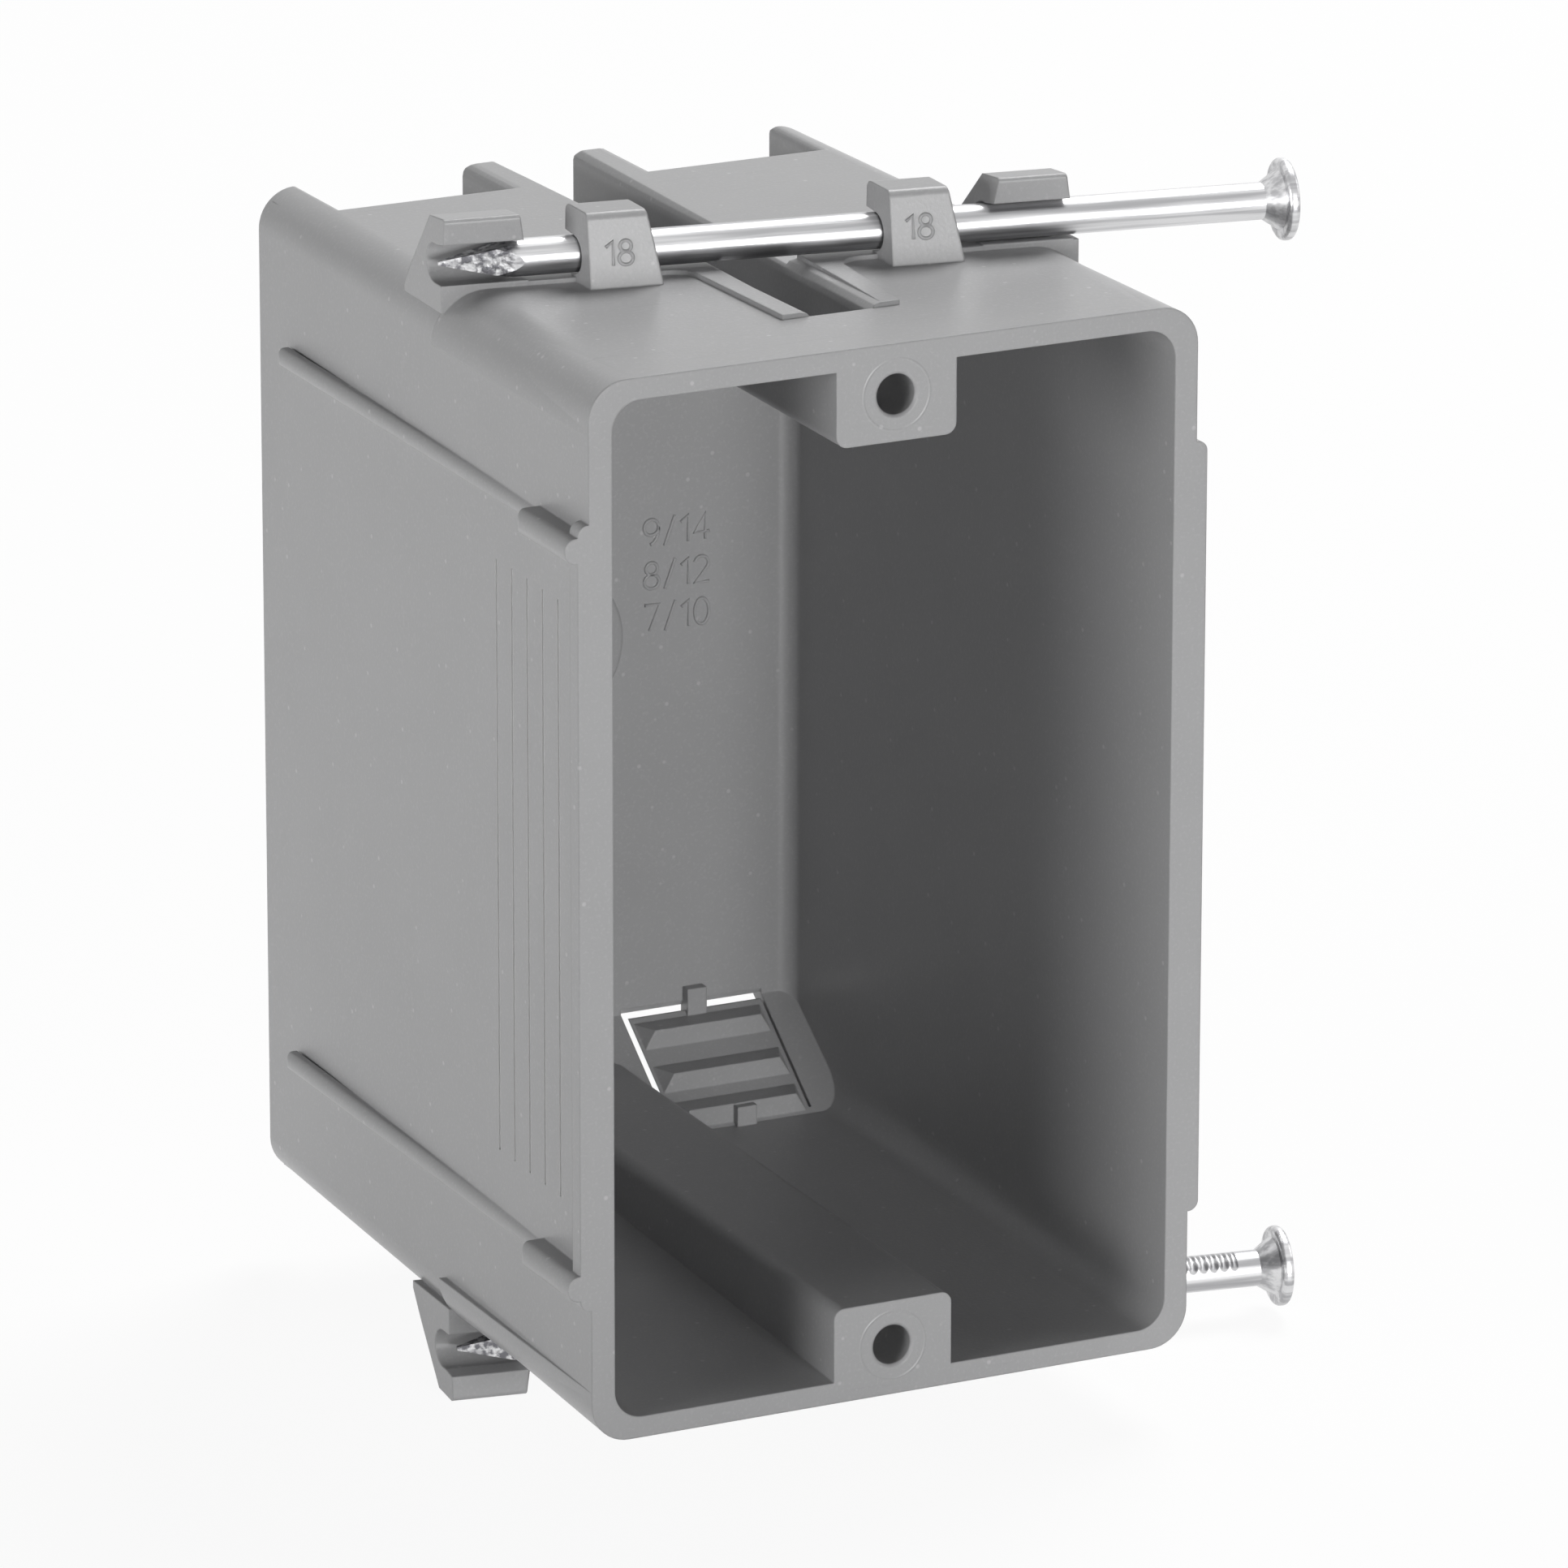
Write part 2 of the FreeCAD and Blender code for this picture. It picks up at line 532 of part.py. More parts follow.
def teeth():
    """Three saw teeth across a cable flap, with sloped ends."""
    rise = "Sizes.tooth_height"
    tread = f"({rise} / {CLAMP_SLOPE})"
    riser = f"({rise} * {CLAMP_SLOPE})"
    width = f"({tread} + {riser})"
    first = "Sizes.tooth_start"
    third = f"({CLAMP_LENGTH} - Sizes.tooth_end - {width})"
    second = f"({first} + ({third} - {first}) * 0.54)"
    sunk = "-0.2"
    section = []
    for start in (first, second, third):
        section += [(start, sunk), (start, "0"), (f"{start} + {tread}", rise), (f"{start} + {width}", "0"),
                    (f"{start} + {width}", sunk)]
    section += [(f"{third} + {width}", "-0.6"), (first, "-0.6")]
    owner = body("clamp_teeth")
    middle = f"(({FLAP_START} + {FLAP_END}) / 2)"
    half_foot = "(Sizes.tooth_width / 2 + Sizes.tooth_hip)"
    rows = outline(owner, "tooth_section", "YZ_Plane", section, away=f"{middle} - {half_foot}")
    pad(owner, rows, f"{half_foot} * 2")
    for name, sign in (("inner", "-"), ("outer", "+")):
        waste = outline(owner, f"{name}_hip", "XZ_Plane", [
            (f"{middle} {sign} {half_foot}", "0"),
            (f"{middle} {sign} Sizes.tooth_width / 2", rise),
            (f"{middle} {sign} Sizes.tooth_width / 2", f"{rise} + 1"),
            (f"{middle} {sign} ({half_foot} + 1)", f"{rise} + 1"),
            (f"{middle} {sign} ({half_foot} + 1)", "0")])
        pocket(owner, waste, f"{CLAMP_LENGTH} * 2")
    clamp_frame(owner)
    return owner


def tabs():
    """Break-away tabs that bridge a flap to the back wall and to the cap wall."""
    left = f"(({FLAP_START} + {FLAP_END} - Sizes.tab_width) / 2)"
    top = block("flap_top_tab", left, f"{INNER_BACK} - Sizes.tab_height", f"{CLAMP_HEIGHT} - 1.8",
                "Sizes.tab_width", "Sizes.tab_height + 0.4", "2.7")
    low_edge = f"({INNER_BACK} - {CLAMP_LENGTH} * cos(Sizes.clamp_angle * 1 deg))"
    root = block("flap_root_tab", left, f"{low_edge} - 0.45", f"{INNER_TOP_BACK} - Sizes.tab_height - 0.5",
                 "Sizes.tab_width", "2.8", "Sizes.tab_height + 1")
    return top, root


def nail_frame(item):
    """Put a body's own frame on the upper nail's axis, X towards the head."""
    item.Placement.Rotation = FreeCAD.Rotation(Z_AXIS, -number("Sizes.nail_tilt"))
    bind(item, Placement__Rotation__Angle="-Sizes.nail_tilt")
    bind(item, Placement__Base__y="Sizes.nail_offset", Placement__Base__z=NAIL_HEIGHT)


def hook_bar():
    """Section of the hooks, open to the front, run the whole way along the nail."""
    bar = body("hook_bar")
    root = f"({SEAT_ROOT} - {NAIL_HEIGHT})"
    shoulder = "(Sizes.hook_back - 1.6)"
    section = outline(bar, "hook_section", "YZ_Plane", [
        ("-Sizes.saddle_front", root),
        ("Sizes.hook_back", root),
        ("Sizes.hook_back", f"{root} - 1.2 + {HALF_HEIGHT} - {SEAT_ROOT} "),
        (shoulder, "-1.1"),
        ("Sizes.clip_rear - 0.1", "Sizes.hook_top - 0.3"),
        ("-Sizes.hook_lip", "Sizes.hook_top"),
        ("-Sizes.hook_lip + 0.2", f"{GROOVE} + 0.25"),
        ("-0.2", GROOVE),
        ("0.3", GROOVE),
        ("0.3", f"-{GROOVE}"),
        ("-0.2", f"-{GROOVE}"),
        ("-Sizes.saddle_front", f"-{GROOVE}")])
    solid = pad(bar, section, "Sizes.box_width * 1.4", both=True)
    lip = -number("Sizes.hook_lip")
    top = number("Sizes.hook_top")

    def lip_edge(edge):
        middle = centre(edge)
        return along(edge, X_AXIS) and abs(middle.z - top) < 0.01 and abs(middle.y - lip) < 0.01

    soften(bar, solid, lip_edge, "Sizes.clip_radius / 2")
    groove = round_outline(bar, "hook_groove", "YZ_Plane", [("0.3", "0", GROOVE)])
    pocket(bar, groove, "Sizes.box_width * 2", both=True)
    nail_frame(bar)
    return bar


def clip_bar():
    """Section of the clips, open to the back, run the whole way along the nail."""
    bar = body("clip_bar")
    root = f"({SEAT_ROOT} - {NAIL_HEIGHT})"
    section = outline(bar, "clip_section", "YZ_Plane", [
        ("-Sizes.clip_front", root),
        ("0", root),
        ("0", f"-{GROOVE}"),
        ("-0.3", f"-{GROOVE}"),
        ("-0.3", GROOVE),
        ("Sizes.clip_rear", f"{GROOVE} + 0.1"),
        ("Sizes.clip_rear", "Sizes.hook_top - 0.1"),
        ("-Sizes.clip_front + Sizes.clip_lean", "Sizes.hook_top - 0.1"),
        ("-Sizes.clip_front", f"{HALF_HEIGHT} - {NAIL_HEIGHT}")])
    solid = pad(bar, section, "Sizes.box_width * 1.4", both=True)
    top = number("Sizes.hook_top") - 0.1
    soften(bar, solid, lambda edge: along(edge, X_AXIS) and abs(centre(edge).z - top) < 0.01,
           "Sizes.clip_radius")
    groove = round_outline(bar, "clip_groove", "YZ_Plane", [("-0.3", "0", GROOVE)])
    pocket(bar, groove, "Sizes.box_width * 2", both=True)
    nail_frame(bar)
    return bar


def room(name, left, right, left_lean, right_lean):
    """Upright space whose ends lean in above the saddle, to cut a hook or clip from its bar."""
    owner = body(name)
    low = f"({HALF_HEIGHT} / 2)"
    knee = SADDLE_TOP
    top = f"({NAIL_HEIGHT} + Sizes.hook_top * 2)"
    front = outline(owner, f"{name}_front", "XZ_Plane", [
        (left, low),
        (right, low),
        (right, knee),
        (f"{right} - ({top} - {knee}) * {right_lean}", top),
        (f"{left} + ({top} - {knee}) * {left_lean}", top),
        (left, knee)])
    pad(owner, front, "Sizes.box_depth", back=True)
    return owner


def seats():
    """Hooks, clips, saddle and channel strips that hold the upper nail."""
    envelope = body("side_envelope")
    flank = f"({HALF_WIDTH} - Sizes.box_depth * {SIDE_SLOPE})"
    plan = outline(envelope, "side_envelope_plan", "XY_Plane", [
        (f"-{HALF_WIDTH}", "0"),
        (HALF_WIDTH, "0"),
        (flank, "Sizes.box_depth"),
        (f"-{flank}", "Sizes.box_depth")])
    pad(envelope, plan, f"{HALF_HEIGHT} * 2")

    outside = f"({HALF_WIDTH} + {OVER})"
    wall = f"({HALF_WIDTH} - Sizes.nail_offset * {SIDE_SLOPE})"
    right_end = f"({wall} - Sizes.hook_inset)"
    lean = "Sizes.hook_lean"
    left_room = room("left_hook_room", f"-{outside}", f"-({wall} - Sizes.hook_left_width)", "0", lean)
    right_room = room("right_hook_room", f"{right_end} - Sizes.hook_right_width", right_end, lean, lean)
    hook_rooms = joined("Part::MultiFuse", "hook_rooms", left_room, right_room)
    hooks = joined("Part::MultiCommon", "hooks", hook_bar(), hook_rooms, envelope)
    half_clip = "Sizes.clip_width / 2"
    left_clip = room("left_clip_room", f"-Sizes.clip_left - {half_clip}",
                     f"-Sizes.clip_left + {half_clip}", "0.02", lean)
    right_clip = room("right_clip_room", f"Sizes.clip_right - {half_clip}",
                      f"Sizes.clip_right + {half_clip}", "0.02", lean)
    clip_rooms = joined("Part::MultiFuse", "clip_rooms", left_clip, right_clip)
    clip_pair = joined("Part::MultiCommon", "clips", clip_bar(), clip_rooms)

    saddle = body("saddle")
    wide = f"({HALF_WIDTH} + {OVER})"
    front = "(Sizes.nail_offset - Sizes.saddle_front)"
    rear = "(Sizes.nail_offset + Sizes.saddle_rear)"
    flared = "(Sizes.strip_half + Sizes.strip_flare)"
    plan = outline(saddle, "saddle_plan", "XY_Plane", [
        ("-Sizes.strip_half", "Sizes.channel_front"),
        ("Sizes.strip_half", "Sizes.channel_front"),
        (flared, f"{front} - {flared} * {NAIL_SLOPE}"),
        (wide, f"{front} - {wide} * {NAIL_SLOPE}"),
        (wide, f"{rear} - {wide} * {NAIL_SLOPE}"),
        (f"-{wide}", f"{rear} + {wide} * {NAIL_SLOPE}"),
        (f"-{wide}", f"{front} + {wide} * {NAIL_SLOPE}"),
        (f"-{flared}", f"{front} + {flared} * {NAIL_SLOPE}")], away=SEAT_ROOT)
    solid = pad(saddle, plan, f"{SADDLE_TOP} - {SEAT_ROOT}")
    inner = number(flared)

    def flare_edge(edge):
        return along(edge, Z_AXIS) and abs(abs(centre(edge).x) - inner) < 0.01

    soften(saddle, solid, flare_edge, "2.2")
    saddle_fit = joined("Part::MultiCommon", "saddle_fit", saddle, envelope)
    return joined("Part::MultiFuse", "seats", hooks, clip_pair, saddle_fit)


def half_round(name, sign, outer, radius, length):
    """Half-round moulding along the stud side, with a rounded end."""
    owner = body(name)
    inner = f"(-({HALF_WIDTH} - Sizes.side_wall / 2))"
    level = f"{sign}{BUMP_HEIGHT}"
    section = outline(owner, f"{name}_section", "XZ_Plane", [
        (inner, f"{level} - {radius}"),
        (outer, f"{level} - {radius}"),
        (outer, f"{level} + {radius}"),
        (inner, f"{level} + {radius}")])
    solid = pad(owner, section, length, back=True)
    edge_x = number(outer)
    end = number(length)

    def outer_edge(edge):
        middle = centre(edge)
        at_face = abs(middle.x - edge_x) < 0.01
        return at_face and (along(edge, Y_AXIS) or (along(edge, Z_AXIS) and middle.y > end - 0.01))

    soften(owner, solid, outer_edge, f"{radius} * 0.9")
    return owner


def side_details():
    """Pads beside the rim on both sides, and the bumps and ribs on the stud side."""
    pieces = []
    for name, side in (("left", "-"), ("right", "")):
        owner = body(f"{name}_pad")
        inner = f"{side}({HALF_WIDTH} - Sizes.side_wall / 2)"
        outer = f"{side}({HALF_WIDTH} + Sizes.pad_proud)"
        plan = outline(owner, f"{name}_pad_rim", "XZ_Plane", [
            (inner, f"-{PAD_HALF}"), (outer, f"-{PAD_HALF}"), (outer, PAD_HALF), (inner, PAD_HALF)])
        solid = pad(owner, plan, "Sizes.pad_depth", back=True)
        edge_x = number(outer)
        soften(owner, solid, lambda edge: along(edge, Y_AXIS) and abs(centre(edge).x - edge_x) < 0.01,
               "Sizes.pad_proud * 0.9")
        pieces.append(owner)
    for name, sign in (("upper", ""), ("lower", "-")):
        pieces.append(half_round(f"{name}_bump", sign, f"(-({HALF_WIDTH} + Sizes.bump_proud))",
                                 "Sizes.bump_radius", "Sizes.bump_length"))
        pieces.append(half_round(f"{name}_rib", sign, f"(-({HALF_WIDTH} + Sizes.rib_proud))",
                                 "Sizes.rib_radius", "(Sizes.box_depth - Sizes.rib_stop)"))
    return pieces


def gauge_lines():
    """Five engraved lines on the stud side that mark wallboard thickness."""
    lines = []
    for i in range(GAUGE_LINES):
        distance = f"(Sizes.gauge_first + {i} * Sizes.gauge_pitch)"
        surface = f"(-{HALF_WIDTH} + {distance} * {SIDE_SLOPE})"
        half = f"({PAD_HALF} - Sizes.gauge_inset)"
        line = block(f"gauge_line_{i + 1}", f"{surface} - 1", f"{distance} - Sizes.gauge_width / 2",
                     f"-{half}", "1 + Sizes.gauge_depth", "Sizes.gauge_width", f"{half} * 2")
        lines.append(line)
    return lines


def outlet_box():
    """The moulded box in one piece."""
    upper_seats = seats()
    lower_seats = mirrored("lower_seats", upper_seats, (0, 0, 1))
    hull = joined("Part::MultiFuse", "hull", outer_shell(), collar(), upper_seats, lower_seats,
                  *side_details())

    upper_channel = joined("Part::MultiFuse", "upper_channel", channel(), channel_edges())
    lower_channel = mirrored("lower_channel", upper_channel, (0, 0, 1))
    bays = [bay("upper_right_bay")]
    bays.append(mirrored("upper_left_bay", bays[0], (1, 0, 0)))
    bays.append(mirrored("lower_right_bay", bays[0], (0, 0, 1)))
    bays.append(mirrored("lower_left_bay", bays[1], (0, 0, 1)))

    hollow = joined("Part::Cut", "hollow_hull", hull, cavity())
    slopes = [clamp_slope()]
    slopes.append(mirrored("upper_left_slope", slopes[0], (1, 0, 0)))
    slopes.append(mirrored("lower_right_slope", slopes[0], (0, 0, 1)))
    slopes.append(mirrored("lower_left_slope", slopes[1], (0, 0, 1)))
    filled = joined("Part::MultiFuse", "filled_hull", hollow, *slopes)

    gaps = [flap_gap()]
    gaps.append(mirrored("upper_left_gap", gaps[0], (1, 0, 0)))
    gaps.append(mirrored("lower_right_gap", gaps[0], (0, 0, 1)))
    gaps.append(mirrored("lower_left_gap", gaps[1], (0, 0, 1)))
    cutters = joined("Part::MultiFuse", "cutters", upper_channel, lower_channel, *bays, *gaps,
                     screw_holes(), *gauge_lines())
    opened = joined("Part::Cut", "opened_hull", filled, cutters)

    grips = [joined("Part::MultiFuse", "flap_grip", teeth(), *tabs())]
    grips.append(mirrored("upper_left_grip", grips[0], (1, 0, 0)))
    grips.append(mirrored("lower_right_grip", grips[0], (0, 0, 1)))
    grips.append(mirrored("lower_left_grip", grips[1], (0, 0, 1)))
    return joined("Part::MultiFuse", "box", opened, *grips)


def nail(name, point, side):
    """Bright nail with a diamond point, lying slanted across the box."""
    piece = body(name)
    half = "Sizes.nail_diameter / 2"
    length = "Sizes.nail_length"
    under = f"({length} - Sizes.nail_head_rim)"
    profile = outline(piece, f"{name}_profile", "XZ_Plane", [
        ("0", "0"),
        (length, "0"),
        (length, "Sizes.nail_head / 2"),
        (under, "Sizes.nail_head / 2"),
        (under, "Sizes.nail_neck_diameter / 2"),
        (f"{under} - Sizes.nail_neck", half),
        ("0", half)])
    turned = piece.newObject("PartDesign::Revolution", f"{name}_turned")
    turned.Profile = profile
    turned.ReferenceAxis = (profile, ["H_Axis"])
    turned.Angle = 360
    head_end = number(under)
    head_radius = number("Sizes.nail_head / 2")

    def rim_edge(edge):
        return edge.Length > 2 * head_radius * 3.1 and centre(edge).x > head_end - 0.01

    rounded = soften(piece, turned, rim_edge, "Sizes.nail_head_rim * 0.4")
    facet = outline(piece, f"{name}_facet", "XZ_Plane", [
        ("-1", "0.15"),
        ("0", "0.15"),
        ("Sizes.nail_point", half),
        ("Sizes.nail_point", f"{half} + 1"),
        ("-1", f"{half} + 1")])
    cut = pocket(piece, facet, "Sizes.nail_diameter * 2", both=True)
    doc.recompute()
    facets = piece.newObject("PartDesign::PolarPattern", f"{name}_facets")
    facets.Originals = [cut]
    facets.Axis = (profile, ["H_Axis"])
    facets.Angle = 360
    facets.Occurrences = 4
    piece.Tip = facets
    piece.Placement.Rotation = FreeCAD.Rotation(Z_AXIS, -number("Sizes.nail_tilt"))
    bind(piece, Placement__Rotation__Angle="-Sizes.nail_tilt")
    bind(piece, Placement__Base__x=f"-Sizes.{point}",
         Placement__Base__y=f"Sizes.nail_offset + Sizes.{point} * {NAIL_SLOPE}",
         Placement__Base__z=f"{side}{NAIL_HEIGHT}")
    return piece


nodes = {
    "box": outlet_box(),
    "upper_nail": nail("upper_nail", "upper_point", ""),
    "lower_nail": nail("lower_nail", "lower_point", "-"),
}
doc.recompute()

for item in doc.Objects:
    for word in ("Invalid", "Error"):
        if word in item.State:
            raise RuntimeError(f"{item.Label} is {word}")
for label, piece in nodes.items():
    piece.Label = label
    if piece.Shape.isNull() or not piece.Shape.isValid():
        raise RuntimeError(f"{label} has no valid shape")

os.makedirs("parts", exist_ok=True)
for label, piece in nodes.items():
    shape = piece.Shape
    shape.exportStep(os.path.join("parts", label + ".step"))
    bounds = shape.BoundBox
    corners = (bounds.XMin, bounds.YMin, bounds.ZMin, bounds.XMax, bounds.YMax, bounds.ZMax)
    print(label, len(shape.Solids), "solid", round(shape.Volume, 1), "mm3", [round(c, 2) for c in corners])
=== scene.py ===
import bpy, math
from mathutils import Matrix, Vector


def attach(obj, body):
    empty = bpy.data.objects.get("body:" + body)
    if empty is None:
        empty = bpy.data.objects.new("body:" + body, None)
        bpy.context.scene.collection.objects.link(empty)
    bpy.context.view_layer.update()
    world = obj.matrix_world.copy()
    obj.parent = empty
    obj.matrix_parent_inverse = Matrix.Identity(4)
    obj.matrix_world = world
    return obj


# New work outlet box: looks, raised figures, light and camera.
# Values in the dictionaries are millimetres and degrees unless a note says otherwise.

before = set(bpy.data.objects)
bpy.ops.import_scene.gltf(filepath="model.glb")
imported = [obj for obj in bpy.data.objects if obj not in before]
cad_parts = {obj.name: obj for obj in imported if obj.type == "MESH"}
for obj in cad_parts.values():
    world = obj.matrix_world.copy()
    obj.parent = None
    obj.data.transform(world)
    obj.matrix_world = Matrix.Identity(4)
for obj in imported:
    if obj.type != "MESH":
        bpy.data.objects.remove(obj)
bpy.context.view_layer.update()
print("frame loaded")


def mm(*values):  # millimetres to Blender's metres
    scaled = [value / 1000 for value in values]
    return scaled[0] if len(scaled) == 1 else Vector(scaled)


def linear(hexColour):  # sRGB hex to linear RGBA
    channels = [int(hexColour[i:i + 2], 16) / 255 for i in (1, 3, 5)]
    return [c / 12.92 if c <= 0.04045 else ((c + 0.055) / 1.055) ** 2.4 for c in channels] + [1.0]


def node(tree, kind, settings=None, inputs=None, links=None):  # one shader node, set up and linked
    made = tree.nodes.new(kind)
    for key, value in (settings or {}).items():
        setattr(made, key, value)
    for key, value in (inputs or {}).items():
        made.inputs[key].default_value = value
    for key, source in (links or {}).items():
        tree.links.new(source, made.inputs[key])
    return made


def newMaterial(name):
    material = bpy.data.materials.new(name)
    material.use_nodes = True
    material.node_tree.nodes.clear()
    return material, material.node_tree


# Moulded grey PVC: satin gloss, softly cloudy, with fine grain close up.
pvc = {
    "colour": "#A5A5A6",
    "cloud": "#9F9FA0",
    "cloudSize": 11,       # size of the soft patches
    "drag": "#969698",     # darker marks across the top and the bottom
    "dragLength": 9,
    "dragWidth": 0.3,
    "dragRange": (0.6, 0.78),  # part of the noise that makes a mark
    "dragShare": 0.5,      # how much of the darker colour a mark takes
    "capHeight": 45,       # only this far above or below the middle are there marks
    "speck": "#D2D2D2",    # light specks
    "speckSpacing": 2.4,
    "speckSize": 0.26,     # judged, not measured
    "speckShare": 0.4,
    "grain": "#ADADAE",    # lighter tops of the grain
    "grainSize": 0.3,      # judged, not measured
    "grainHeight": 0.014,
    "grainRange": (0.5, 0.75),
    "grainShare": 0.6,
    "gauge": "#CFCFCF",    # depth lines on the left side, given painted light: the grooves alone render too dark in their own shade
    "gaugeStart": 6.35,
    "gaugeStep": 3.175,
    "gaugeCount": 5,
    "gaugeHalfWidth": 0.22,
    "gaugeSide": -27,      # left of this
    "gaugeHalf": 26,       # half a line's length
    "roughness": 0.35,
    "specular": 0.42,
    "edge": 0.25,          # softened edges
    "ringRadius": 3.05,    # thin ring round a screw hole
    "ringWidth": 0.16,
    "ringHeight": 0.05,
    "ringStrength": 0.7,
    "screwHeight": 41.67,
    "rimDepth": 0.05,      # the rings show only this near the rim's plane
}


def screwRing(tree, axes, height):  # 1 on the ring round one screw hole, fading to 0 beside it
    lifted = node(tree, "ShaderNodeMath", {"operation": "SUBTRACT"}, {1: mm(height)}, {0: axes.outputs["Z"]})
    flat = node(tree, "ShaderNodeCombineXYZ", links={"X": axes.outputs["X"], "Y": lifted.outputs[0]})
    away = node(tree, "ShaderNodeVectorMath", {"operation": "LENGTH"}, links={0: flat.outputs[0]})
    offset = node(tree, "ShaderNodeMath", {"operation": "SUBTRACT"}, {1: mm(pvc["ringRadius"])},
                  {0: away.outputs["Value"]})
    distance = node(tree, "ShaderNodeMath", {"operation": "ABSOLUTE"}, links={0: offset.outputs[0]})
    return node(tree, "ShaderNodeMapRange", {"interpolation_type": "SMOOTHSTEP"},
                {"From Min": 0.0, "From Max": mm(pvc["ringWidth"]), "To Min": 1.0, "To Max": 0.0},
                {"Value": distance.outputs[0]})


def makePvc():
    material, tree = newMaterial("mouldedGreyPvc")
    where = node(tree, "ShaderNodeTexCoord")
    axes = node(tree, "ShaderNodeSeparateXYZ", links={0: where.outputs["Object"]})

    clouds = node(tree, "ShaderNodeTexNoise", None, {"Scale": 1 / mm(pvc["cloudSize"]), "Detail": 3.0},
                  {"Vector": where.outputs["Object"]})
    tone = node(tree, "ShaderNodeMix", {"data_type": "RGBA"},
                {6: linear(pvc["colour"]), 7: linear(pvc["cloud"])},
                {0: clouds.outputs[0]})

    stretched = node(tree, "ShaderNodeMapping", None,
                     {"Scale": (1 / mm(pvc["dragLength"]), 1 / mm(pvc["dragWidth"]),
                                1 / mm(pvc["dragWidth"] * 4))},
                     {"Vector": where.outputs["Object"]})
    drags = node(tree, "ShaderNodeTexNoise", None, {"Scale": 1.0, "Detail": 2.0},
                 {"Vector": stretched.outputs[0]})
    dragShare = node(tree, "ShaderNodeMapRange", {"interpolation_type": "SMOOTHSTEP"},
                     {"From Min": pvc["dragRange"][0], "From Max": pvc["dragRange"][1],
                      "To Min": 0.0, "To Max": pvc["dragShare"]}, {"Value": drags.outputs[0]})
    lift = node(tree, "ShaderNodeMath", {"operation": "ABSOLUTE"}, links={0: axes.outputs["Z"]})
    onCap = node(tree, "ShaderNodeMath", {"operation": "GREATER_THAN"}, {1: mm(pvc["capHeight"])},
                 {0: lift.outputs[0]})
    dragMask = node(tree, "ShaderNodeMath", {"operation": "MULTIPLY"}, None,
                    {0: dragShare.outputs[0], 1: onCap.outputs[0]})
    marked = node(tree, "ShaderNodeMix", {"data_type": "RGBA"}, {7: linear(pvc["drag"])},
                  {0: dragMask.outputs[0], 6: tone.outputs[2]})

    cells = node(tree, "ShaderNodeTexVoronoi", None,
                 {"Scale": 1 / mm(pvc["speckSpacing"]), "Randomness": 1.0},
                 {"Vector": where.outputs["Object"]})
    speckEdge = pvc["speckSize"] / pvc["speckSpacing"]
    specks = node(tree, "ShaderNodeMapRange", {"interpolation_type": "SMOOTHSTEP"},
                  {"From Min": speckEdge * 0.4, "From Max": speckEdge,
                   "To Min": pvc["speckShare"], "To Max": 0.0},
                  {"Value": cells.outputs["Distance"]})
    speckled = node(tree, "ShaderNodeMix", {"data_type": "RGBA"}, {7: linear(pvc["speck"])},
                    {0: specks.outputs[0], 6: marked.outputs[2]})

    grain = node(tree, "ShaderNodeTexNoise", None, {"Scale": 1 / mm(pvc["grainSize"]), "Detail": 2.0},
                 {"Vector": where.outputs["Object"]})
    grainTops = node(tree, "ShaderNodeMapRange", {"interpolation_type": "SMOOTHSTEP"},
                     {"From Min": pvc["grainRange"][0], "From Max": pvc["grainRange"][1],
                      "To Min": 0.0, "To Max": pvc["grainShare"]}, {"Value": grain.outputs[0]})
    grained = node(tree, "ShaderNodeMix", {"data_type": "RGBA"}, {7: linear(pvc["grain"])},
                   {0: grainTops.outputs[0], 6: speckled.outputs[2]})

    # Depth lines, lightened with painted light against the grooves' shade: how far Y is from the nearest
    # line, on the left side and within the lines' own field
    steps = node(tree, "ShaderNodeMath", {"operation": "SUBTRACT"}, {1: mm(pvc["gaugeStart"])},
                 {0: axes.outputs["Y"]})
    folded = node(tree, "ShaderNodeMath", {"operation": "PINGPONG"}, {1: mm(pvc["gaugeStep"] / 2)},
                  {0: steps.outputs[0]})
    onLine = node(tree, "ShaderNodeMath", {"operation": "LESS_THAN"}, {1: mm(pvc["gaugeHalfWidth"])},
                  {0: folded.outputs[0]})
    onSide = node(tree, "ShaderNodeMath", {"operation": "LESS_THAN"}, {1: mm(pvc["gaugeSide"])},
                  {0: axes.outputs["X"]})
    inSpan = node(tree, "ShaderNodeMath", {"operation": "COMPARE"},
                  {1: mm(pvc["gaugeStart"] + (pvc["gaugeCount"] - 1) / 2 * pvc["gaugeStep"]),
                   2: mm(pvc["gaugeCount"] / 2 * pvc["gaugeStep"])},
                  {0: axes.outputs["Y"]})
    inHeight = node(tree, "ShaderNodeMath", {"operation": "LESS_THAN"}, {1: mm(pvc["gaugeHalf"])},
                    {0: lift.outputs[0]})
    sideLine = node(tree, "ShaderNodeMath", {"operation": "MULTIPLY"}, None,
                    {0: onLine.outputs[0], 1: onSide.outputs[0]})
    framed = node(tree, "ShaderNodeMath", {"operation": "MULTIPLY"}, None,
                  {0: inSpan.outputs[0], 1: inHeight.outputs[0]})
    lineShare = node(tree, "ShaderNodeMath", {"operation": "MULTIPLY"}, None,
                     {0: sideLine.outputs[0], 1: framed.outputs[0]})
    # painted light: a lighter colour on the depth-line grooves lifts their shade
    paintedGrooveLight = node(tree, "ShaderNodeMix", {"data_type": "RGBA"}, {7: linear(pvc["gauge"])},
                   {0: lineShare.outputs[0], 6: grained.outputs[2]})

